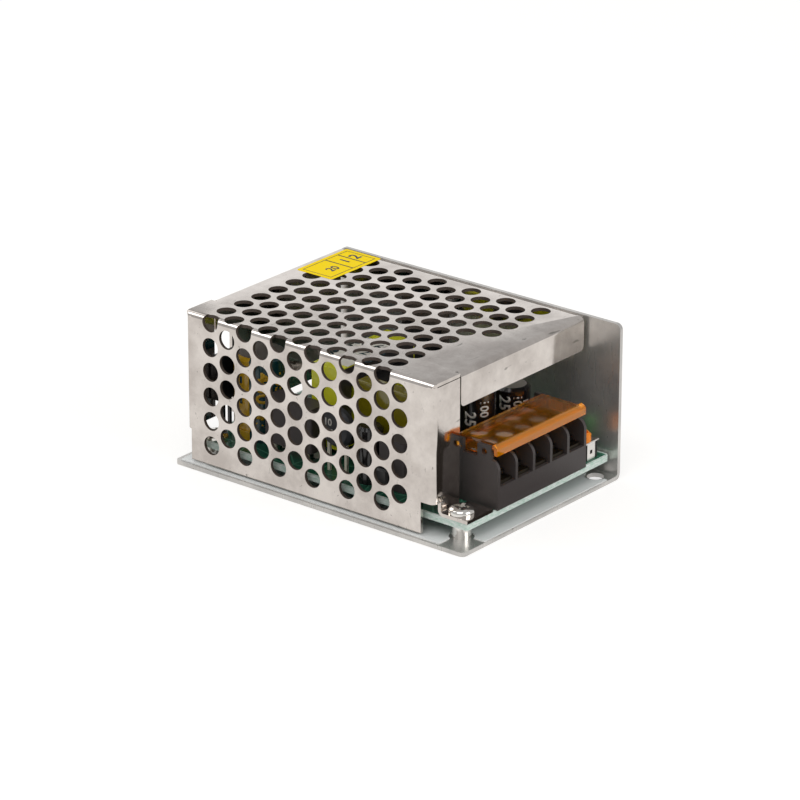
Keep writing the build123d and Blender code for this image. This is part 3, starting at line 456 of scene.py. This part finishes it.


# Terminal lid: clear amber polycarbonate, moulded in one piece, glossy as glass.
# It pivots on two pins in the block's ears. Its thick rounded front edge has a painted glow: deeper, less
# clear amber there.
lid_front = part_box("terminal_lid")[1][0]
front_bead = 1.6 * MM
wave_mm = 6.25
rub_mm = 1.11
finish, tree = new_finish("amber_polycarbonate")
place = add_node(tree, "ShaderNodeTexCoord")
waves = add_node(
    tree, "ShaderNodeTexNoise", {"Vector": (place, "Object")}, Scale=pattern_scale(wave_mm), Detail=2.0)
rub = add_node(
    tree, "ShaderNodeTexNoise", {"Vector": (place, "Object")},
    Scale=pattern_scale(rub_mm), Detail=4.0, Roughness=0.7)
smear = add_node(
    tree, "ShaderNodeMapRange", {"Value": (rub, "Fac")},
    From_Min=0.6, From_Max=0.9, To_Min=0.02, To_Max=0.12)
bump = add_node(tree, "ShaderNodeBump", {"Height": (waves, "Fac")}, Strength=0.05, Distance=0.2 * MM)
reach = add_node(tree, "ShaderNodeSeparateXYZ", {"Vector": (place, "Object")})
# Painted glow: near the front edge the amber is deeper and less clear, standing for light scattered in the
# thick bead.
painted_glow_band = add_node(
    tree, "ShaderNodeMapRange", {"Value": (reach, "X")},
    From_Min=lid_front - front_bead, From_Max=lid_front - front_bead / 2)
clear = add_node(tree, "ShaderNodeMapRange", {"Value": (painted_glow_band, "Result")}, To_Min=0.94, To_Max=0.66)
tint = add_node(
    tree, "ShaderNodeMix",
    {"Factor": (painted_glow_band, "Result"), "A": linear("#ffb43c"), "B": linear("#ffa604")}, data_type="RGBA")
amber = add_node(
    tree, "ShaderNodeBsdfPrincipled",
    {"Base Color": (tint, "Result"), "Roughness": (smear, "Result"), "Normal": (bump, 0),
     "Transmission Weight": (clear, "Result")},
    IOR=1.58)
add_node(tree, "ShaderNodeOutputMaterial", {"Surface": (amber, 0)})
dress("terminal_lid", finish)


# Transformer: sintered ferrite core round a black bobbin, wound and wrapped in polyester tape.
# The yellow-green tape is thin and shiny, and a white paper label is stuck over the top.
dress("transformer_core", moulded("sintered_ferrite", "#3a3634", 0.5))
tape = moulded("yellow_polyester_tape", "#e9ea2c", 0.25, grain_mm=0.8, coat=0.3)
dress("transformer_tape", tape)
dress("transformer_winding", tape)
dress("transformer_bobbin", moulded("black_phenolic", "#1f1d1e", 0.4))
dress("transformer_label", moulded("white_paper_label", "#f6f3e8", 0.55, grain_mm=0.3, spread=0.05))


# Electrolytic capacitors: aluminium cans in a shrunk plastic sleeve that leaves the top bare.
# The glossy sleeve has a printed stripe down one side that marks the negative lead.
sleeve_lap = 0.9 * MM
sleeve_lap_depth = 1.0 * MM


def sleeved_can(name, node, sleeve, stripe, stripe_degrees, stripe_half_degrees):
    """Dresses a can whose sleeve has a stripe facing one way in plan. Gives its centre and radius."""
    low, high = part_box(node)
    centre = ((low[0] + high[0]) / 2, (low[1] + high[1]) / 2)
    radius = (high[0] - low[0]) / 2
    facing = math.radians(stripe_degrees)
    finish, tree = new_finish(name)
    place = add_node(tree, "ShaderNodeTexCoord")
    near = add_node(
        tree, "ShaderNodeMapping", {"Vector": (place, "Object")}, Location=(-centre[0], -centre[1], 0.0))
    plan = add_node(tree, "ShaderNodeMapping", {"Vector": (near, 0)}, Scale=(1.0, 1.0, 0.0))
    way = add_node(tree, "ShaderNodeVectorMath", {0: (plan, 0)}, operation="NORMALIZE")
    toward = add_node(
        tree, "ShaderNodeVectorMath", {0: (way, 0), 1: (math.cos(facing), math.sin(facing), 0.0)},
        operation="DOT_PRODUCT")
    band = add_node(
        tree, "ShaderNodeMath", {0: (toward, "Value"), 1: math.cos(math.radians(stripe_half_degrees))},
        operation="GREATER_THAN")
    colour = add_node(
        tree, "ShaderNodeMix", {"Factor": (band, 0), "A": linear(sleeve), "B": linear(stripe)},
        data_type="RGBA")
    reach = add_node(tree, "ShaderNodeVectorMath", {0: (plan, 0)}, operation="LENGTH")
    inside = add_node(
        tree, "ShaderNodeMath", {0: (reach, "Value"), 1: radius - sleeve_lap}, operation="LESS_THAN")
    height = add_node(tree, "ShaderNodeSeparateXYZ", {"Vector": (place, "Object")})
    above = add_node(
        tree, "ShaderNodeMath", {0: (height, "Z"), 1: high[2] - sleeve_lap_depth}, operation="GREATER_THAN")
    bare = add_node(tree, "ShaderNodeMath", {0: (inside, 0), 1: (above, 0)}, operation="MULTIPLY")
    skin = add_node(
        tree, "ShaderNodeMix", {"Factor": (bare, 0), "A": (colour, "Result"), "B": linear("#c9c6c1")},
        data_type="RGBA")
    rough = add_node(tree, "ShaderNodeMapRange", {"Value": (bare, 0)}, To_Min=0.2, To_Max=0.35)
    can = add_node(
        tree, "ShaderNodeBsdfPrincipled",
        {"Base Color": (skin, "Result"), "Metallic": (bare, 0), "Roughness": (rough, "Result")},
        IOR=1.5, Coat_Weight=0.3)
    add_node(tree, "ShaderNodeOutputMaterial", {"Surface": (can, 0)})
    dress(node, finish)
    return centre, radius


bulk_can = sleeved_can("teal_sleeve", "bulk_capacitor", "#0e3a3e", "#c39a1e", -103, 28)
tall_can = sleeved_can("black_sleeve_tall", "output_capacitor_1", "#171415", "#4a4a4d", 35, 14)
short_can = sleeved_can("black_sleeve_short", "output_capacitor_2", "#171415", "#4a4a4d", 150, 20)


# Printed numbers: thin ink on sleeves, the thermistor disc and labels, plain numbers only.
# Each is set as text, laid against what carries it, and given the thickness of a coat of ink.
ink_thickness = 0.015
ink_lift = 0.01
start_off = 0.6
stroke_growth = 0.022
printed_numbers = []


def print_number(words, size_mm, place_mm, across, upward, finish, carrier=None):
    """Plain numbers, centred at a place and read along `across`, laid on the node that carries them."""
    across = Vector(across).normalized()
    upward = Vector(upward).normalized()
    outward = across.cross(upward)
    turn = Matrix((across, upward, outward)).transposed().to_4x4()
    turn.translation = (Vector(place_mm) + outward * (start_off if carrier else 0.0)) * MM
    put_aside_all()
    bpy.ops.object.text_add()
    text = bpy.context.object
    text.name = f"printed_number_{len(printed_numbers) + 1}"
    text.data.body = words
    text.data.size = size_mm * MM
    text.data.align_x = "CENTER"
    text.data.align_y = "CENTER"
    text.data.resolution_u = 3
    text.data.offset = size_mm * MM * stroke_growth
    bpy.ops.object.convert(target="MESH")
    text = bpy.context.object
    text.matrix_world = turn
    bpy.ops.object.mode_set(mode="EDIT")
    bpy.ops.mesh.select_all(action="SELECT")
    bpy.ops.mesh.quads_convert_to_tris()
    bpy.ops.mesh.subdivide(number_cuts=1)
    bpy.ops.object.mode_set(mode="OBJECT")
    if carrier:
        wrap = text.modifiers.new("laid_on", "SHRINKWRAP")
        wrap.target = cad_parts[carrier]
        wrap.wrap_method = "PROJECT"
        wrap.use_project_z = True
        wrap.use_negative_direction = True
        wrap.use_positive_direction = False
        wrap.offset = ink_lift * MM
        bpy.ops.object.modifier_apply(modifier=wrap.name)
    thick = text.modifiers.new("coat_of_ink", "SOLIDIFY")
    thick.thickness = ink_thickness * MM
    thick.offset = 1.0
    bpy.ops.object.modifier_apply(modifier=thick.name)
    settle()
    text.data.materials.clear()
    text.data.materials.append(finish)
    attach(text, "case")
    printed_numbers.append(text)


def print_on_can(words, size_mm, can, degrees, height_mm, finish, node):
    """Numbers that read down the side of a can, at one direction in plan."""
    (x, y), radius = can
    way = Vector((math.cos(math.radians(degrees)), math.sin(math.radians(degrees)), 0.0))
    spot = Vector((x, y, 0.0)) / MM + way * radius / MM + Vector((0.0, 0.0, height_mm))
    down = Vector((0.0, 0.0, -1.0))
    print_number(words, size_mm, spot, down, way.cross(down), finish, node)


white_ink = moulded("white_printing_ink", "#d9d6d0", 0.5, grain_mm=0.3)
gold_ink = moulded("gold_printing_ink", "#c39a1e", 0.45, grain_mm=0.3)
dark_ink = moulded("dark_printing_ink", "#14323a", 0.45, grain_mm=0.3)
print_on_can("25", 3.7, short_can, -79, 18.6, white_ink, "output_capacitor_2")
print_on_can("100", 2.9, short_can, -36, 18.6, white_ink, "output_capacitor_2")
print_on_can("10", 2.4, short_can, -5, 18.4, white_ink, "output_capacitor_2")
print_on_can("100", 2.9, tall_can, -31, 21.4, white_ink, "output_capacitor_1")
print_on_can("25", 3.7, tall_can, -77, 18.8, white_ink, "output_capacitor_1")
print_on_can("400 47", 5.2, bulk_can, -46, 16.2, gold_ink, "bulk_capacitor")
print_on_can("105 20 8", 4.0, bulk_can, -8, 16.5, gold_ink, "bulk_capacitor")
for height_mm in (11.0, 16.0, 21.0):
    print_on_can("-", 6.0, bulk_can, -92, height_mm, dark_ink, "bulk_capacitor")

disc_low, disc_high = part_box("disc_thermistor")
disc_numbers_x = (disc_low[0] + disc_high[0]) / 2 / MM - 1.7
disc_front = disc_low[1] / MM
disc_z = (disc_low[2] + disc_high[2]) / 2 / MM
for line, words in ((1.2, "10"), (-1.3, "100")):
    print_number(
        words, 2.4, (disc_numbers_x, disc_front, disc_z + line), (1, 0, 0), (0, 0, 1), white_ink,
        "disc_thermistor")

paper_low, paper_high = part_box("transformer_label")
paper_x = (paper_low[0] + paper_high[0]) / 2 / MM
paper_y = (paper_low[1] + paper_high[1]) / 2 / MM
paper_top = paper_high[2] / MM
for line, words in ((-3.6, "12 24 36"), (0.8, "110 220"), (5.2, "50 60")):
    print_number(
        words, 4.2, (paper_x, paper_y + line, paper_top), (1, 0, 0), (0, 1, 0), dark_ink,
        "transformer_label")


# Small parts on the board: dipped, moulded or potted bodies on bent tinned or sleeved leads.
# Each resin has its own gloss: the film capacitor's case is glassy, the potting is matt.
dress("drum_choke", moulded("black_heat_shrink", "#191617", 0.2, coat=0.3))
glossy_black = moulded("black_epoxy_moulding", "#1d1c1d", 0.3)
for part in ("bridge_rectifier", "input_fuse", "switching_transistor", "optocoupler", "trimmer_body"):
    dress(part, glossy_black)
potting = moulded("potting_resin", "#4a4444", 0.5, grain_mm=0.3)
for part in ("line_choke", "filter_block"):
    dress(part, potting)
dress("disc_thermistor", moulded("dipped_silicone", "#2c2e33", 0.4, grain_mm=0.4))
cream = moulded("cream_sleeving", "#e4dfcd", 0.4)
for part in ("choke_pins", "thermistor_leads"):
    dress(part, cream)
# Painted shade: the yellow film capacitor's case is darkened to olive, as it sits in shade behind the
# holes.
dress("film_capacitor", moulded("film_case_painted_shade", "#857a14", 0.12, coat=0.5))
dress("insulating_pad", moulded("silicone_pad", "#5d544c", 0.6))
dress("indicator_led", moulded("green_epoxy_lens", "#35c93f", 0.08, see_through=0.3))
dress("trimmer_rotor", moulded("orange_polyester", "#ff8c14", 0.3))


# Perforated cover: thinner galvanised steel, punched in staggered rows while flat, then folded.
# The punches are round. The sheet is a little warmer than the base and mirrors more sharply.
# Every second column stands half a row lower, and the last one keeps clear of the front corner.
cover_low, cover_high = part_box("perforated_cover")
cover_rear = cover_low[0] / MM
side_face = cover_low[1] / MM
top_face = cover_high[2] / MM
punch_radius = 2.29
punch_depth = 3.2
punch_pitch = 5.05
punch_row = 6.05
punch_columns = 12
first_column = cover_rear + 7.525
side_top_row = top_face - 1.2
side_rows = (6, 5)
top_first_row = side_face - 0.3
top_rows = 9
clear_rows = 5
weld_distance = 0.001 * MM
flat_angle = math.radians(0.5)
sheet_crease = math.radians(40)


def punch_set(name, places, turn):
    """One punch tool: a round cutter at each place, all in one mesh."""
    put_aside_all()
    for number, spot in enumerate(places):
        bpy.ops.mesh.primitive_cylinder_add(
            vertices=32, radius=punch_radius * MM, depth=punch_depth * MM,
            location=Vector(spot) * MM, rotation=turn)
        if number == 0:
            tool = bpy.context.object
            tool.name = name
            settle()
            bpy.ops.object.mode_set(mode="EDIT")
    bpy.ops.object.mode_set(mode="OBJECT")
    return tool


columns = [(first_column + punch_pitch * number, number % 2) for number in range(punch_columns)]
side_spots = [
    (x, side_face, side_top_row - (0.5 * odd + row) * punch_row)
    for x, odd in columns for row in range(side_rows[odd])
]
top_spots = [
    (x, top_first_row + (0.5 * odd + row) * punch_row, top_face)
    for x, odd in columns for row in range(top_rows)
    if x < columns[-1][0] or 0.5 * odd + row >= clear_rows
]
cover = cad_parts["perforated_cover"].copy()
cover.data = cover.data.copy()
cover.parent = None
cover.matrix_world = Matrix.Identity(4)
cover.name = "punched_cover"
bpy.context.scene.collection.objects.link(cover)
take_up(cover)
bpy.ops.mesh.customdata_custom_splitnormals_clear()
bpy.ops.object.mode_set(mode="EDIT")
bpy.ops.mesh.select_all(action="SELECT")
bpy.ops.mesh.remove_doubles(threshold=weld_distance)
bpy.ops.object.mode_set(mode="OBJECT")
for tool in (
    punch_set("side_punches", side_spots, (math.radians(90), 0.0, 0.0)),
    punch_set("top_punches", top_spots, (0.0, 0.0, 0.0)),
):
    take_up(cover)
    cut = cover.modifiers.new("punch", "BOOLEAN")
    cut.operation = "DIFFERENCE"
    cut.solver = "EXACT"
    cut.object = tool
    bpy.ops.object.modifier_apply(modifier=cut.name)
    bpy.data.objects.remove(tool)
bpy.ops.object.mode_set(mode="EDIT")
bpy.ops.mesh.select_all(action="SELECT")
bpy.ops.mesh.remove_doubles(threshold=weld_distance)
bpy.ops.mesh.dissolve_limited(angle_limit=flat_angle)
bpy.ops.mesh.quads_convert_to_tris()
bpy.ops.object.mode_set(mode="OBJECT")
bpy.ops.object.shade_smooth_by_angle(angle=sheet_crease)
cover.data.materials.clear()
cover.data.materials.append(rolled_steel("galvanised_steel_cover", "#c6beb8", "#e2dbd5", 0.08, "X", 0.03))
# Hole walls: dark brown and matt, partly the raw cut steel's own colour, partly painted shade inside the
# holes.
cover.data.materials.append(moulded("raw_edge_painted_shade", "#4a3f38", 0.6, grain_mm=0.3))
hole_centres = [(Vector(spot) * MM, Vector((0, 1, 0))) for spot in side_spots]
hole_centres += [(Vector(spot) * MM, Vector((0, 0, 1))) for spot in top_spots]
wall_reach = (punch_depth / 2 + 0.01) * MM
wall_radius = (punch_radius + 0.01) * MM
for face in cover.data.polygons:
    for centre, axis in hole_centres:
        off = face.center - centre
        along = off.dot(axis)
        if abs(along) < wall_reach and (off - axis * along).length < wall_radius:
            face.material_index = 1
            break
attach(cover, "case")
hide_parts("perforated_cover")


# Date label: a yellow vinyl sticker at the rear of the cover, printed with a frame of three cells.
# The cells hold plain numbers that are read from the front, and its corners are cut round.
label_low, label_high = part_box("date_label")
label_rear, label_left, label_base = (part / MM for part in label_low)
label_front = label_high[0] / MM
label_right = label_high[1] / MM
vinyl_thickness = 0.05
label_corner = 0.5
frame_margin = 1.0
frame_line = 0.4
cell_ends = (0.5, 0.78)


def flat_sheet(name, x0, x1, y0, y1, z):
    """A flat rectangle lying at height z, in edit mode with all of it selected."""
    put_aside_all()
    bpy.ops.mesh.primitive_plane_add(size=1.0, location=(0.0, 0.0, 0.0))
    made = bpy.context.object
    made.name = name
    made.scale = ((x1 - x0) * MM, (y1 - y0) * MM, 1.0)
    made.location = ((x0 + x1) / 2 * MM, (y0 + y1) / 2 * MM, z * MM)
    settle()
    bpy.ops.object.mode_set(mode="EDIT")
    bpy.ops.mesh.select_all(action="SELECT")
    return made


def thicken(piece, name, thickness):
    """Gives a flat sheet its thickness, upwards."""
    bpy.ops.object.mode_set(mode="OBJECT")
    solid = piece.modifiers.new(name, "SOLIDIFY")
    solid.thickness = thickness * MM
    solid.offset = 1.0
    bpy.ops.object.modifier_apply(modifier=solid.name)


vinyl = moulded("yellow_vinyl", "#ffdc00", 0.6, grain_mm=0.5, shine=0.08, spread=0.03)
sticker = flat_sheet("date_sticker", label_rear, label_front, label_left, label_right, label_base)
bpy.ops.mesh.bevel(affect="VERTICES", offset=label_corner * MM, segments=4)
thicken(sticker, "vinyl_sheet", vinyl_thickness)
sticker.data.materials.append(vinyl)
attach(sticker, "case")
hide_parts("date_label")

print_height = label_base + vinyl_thickness
frame_left = label_left + frame_margin
frame_right = label_right - frame_margin
cells = flat_sheet(
    "date_frame", label_rear + frame_margin, label_front - frame_margin,
    frame_left, frame_right, print_height)
for share in cell_ends:
    cell_end = frame_left + share * (frame_right - frame_left)
    bpy.ops.mesh.select_all(action="SELECT")
    bpy.ops.mesh.bisect(plane_co=(0.0, cell_end * MM, 0.0), plane_no=(0, 1, 0))
bpy.ops.mesh.select_all(action="SELECT")
bpy.ops.mesh.inset(thickness=frame_line / 2 * MM, use_individual=True)
bpy.ops.mesh.delete(type="FACE")
bpy.ops.mesh.select_all(action="SELECT")
thicken(cells, "coat_of_ink", ink_thickness)
cells.data.materials.append(moulded("olive_printing_ink", "#2f2a04", 0.45, grain_mm=0.3))
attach(cells, "case")

navy_ink = moulded("navy_printing_ink", "#15183a", 0.45, grain_mm=0.3)
for words, size_mm, behind_front, from_left in (
    ("20", 3.3, 4.4, 5.8),
    ("1", 4.0, 5.6, 11.7),
    ("2", 4.2, 5.6, 15.4),
):
    spot = (label_front - behind_front, label_left + from_left, print_height)
    print_number(words, size_mm, spot, (0, 1, 0), (-1, 0, 0), navy_ink)
